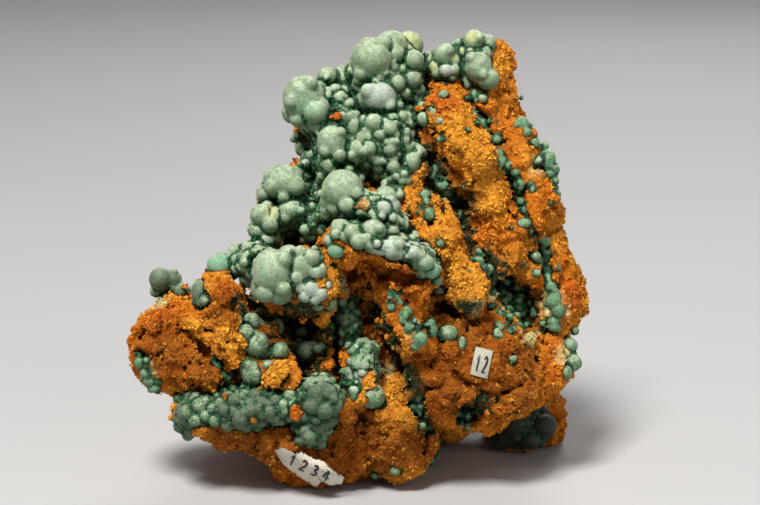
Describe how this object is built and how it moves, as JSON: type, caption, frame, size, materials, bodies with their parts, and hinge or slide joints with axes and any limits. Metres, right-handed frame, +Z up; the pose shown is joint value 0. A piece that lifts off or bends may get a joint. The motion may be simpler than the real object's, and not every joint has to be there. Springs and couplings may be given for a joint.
{
  "type": "malachite mineral specimen",
  "caption": "Cabinet specimen of grape-like grey-green malachite crusts grown on a crumbly block of orange limonite, with small paper labels.",
  "frame": {"origin": "centre of the flat-ground base, on the surface the specimen stands on", "axes": "+Z up; +Y away from the viewer, who stands in front of the malachite crown; +X to the viewer's right"},
  "size_m": [0.1157, 0.0873, 0.1114],
  "materials": {
    "limonite": "crumbly matt earthy orange-brown iron oxide with sugary grain",
    "malachite": "velvety grey-green botryoidal crust with dark emerald crevices",
    "paper": "matt off-white paper, worn and dusty"
  },
  "bodies": {
    "root": {"limonite_matrix": "limonite", "crown_crust": "malachite", "band_crust": "malachite", "foot_crust": "malachite", "catalogue_label": "paper", "number_sticker": "paper"}
  },
  "joints": []
}
